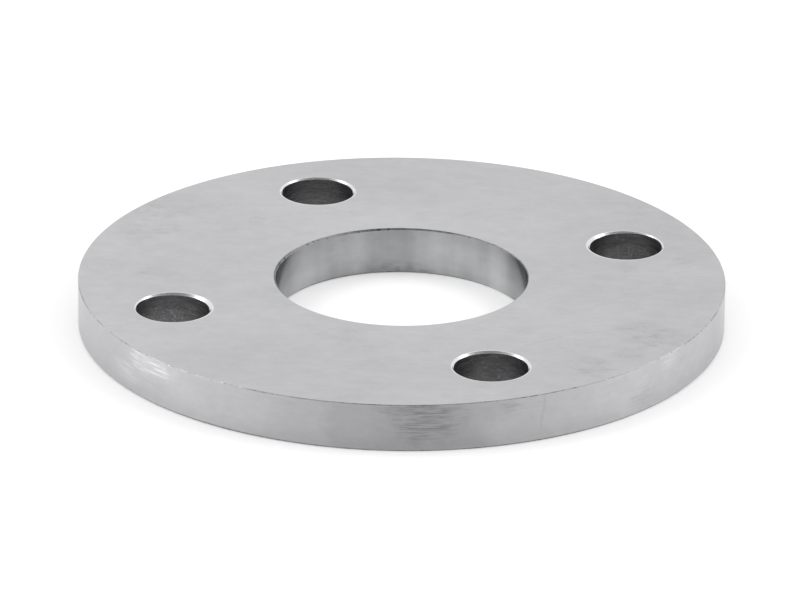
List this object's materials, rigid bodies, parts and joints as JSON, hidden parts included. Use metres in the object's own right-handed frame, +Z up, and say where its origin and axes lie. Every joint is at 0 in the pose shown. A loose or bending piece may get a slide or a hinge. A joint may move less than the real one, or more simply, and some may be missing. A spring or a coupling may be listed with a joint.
{
  "type": "floor flange",
  "caption": "Flat round steel floor flange: a pipe stands in the chamfered centre bore for welding, and drilled holes around it take floor bolts.",
  "frame": {"origin": "centre of the bore on the underside, the face that lies on the floor", "axes": "+Z up along the bore's axis, +X and +Y each midway between two neighbouring bolt holes"},
  "size_m": [0.127, 0.127, 0.0095],
  "materials": {
    "satin_steel": "fine satin faces, turned rim, bore and bolt holes as machined"
  },
  "bodies": {
    "root": {"floor_flange": "satin_steel"}
  },
  "joints": []
}
